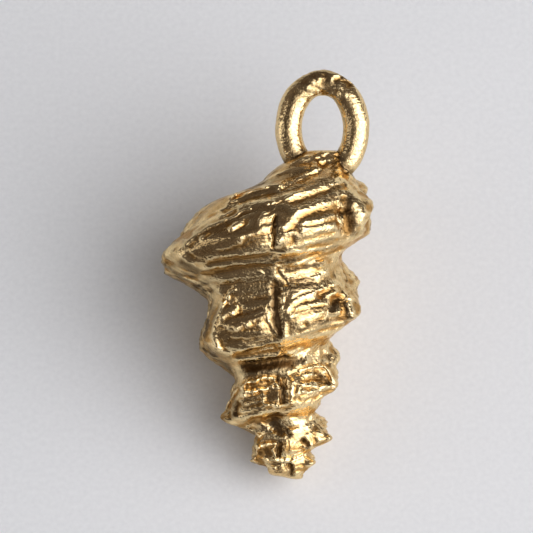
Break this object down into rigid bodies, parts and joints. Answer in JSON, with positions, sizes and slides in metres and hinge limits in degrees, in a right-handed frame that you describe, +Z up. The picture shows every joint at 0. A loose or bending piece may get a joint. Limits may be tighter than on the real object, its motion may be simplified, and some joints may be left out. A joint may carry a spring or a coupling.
{
  "type": "shell charm",
  "caption": "Knobbed right-handed spiral sea shell cast with an oval hanging loop at its base, a pendant charm that lies on its knobs.",
  "frame": {"origin": "Middle of the charm's footprint box on the surface it lies on, at the height of that surface.", "axes": "+Z is up from the surface; +Y runs from the point of the spire to the loop; +X is to the right of someone who looks down on the charm with the loop away from them. The shell's own axis dips 18.4 degrees from the loop down to the point."},
  "size_m": [0.0114, 0.021, 0.0113],
  "materials": {
    "gold": "gold-plated casting, worn bright on the ridges and brown in the grooves"
  },
  "bodies": {
    "root": {"shell_charm": "gold"}
  },
  "joints": []
}
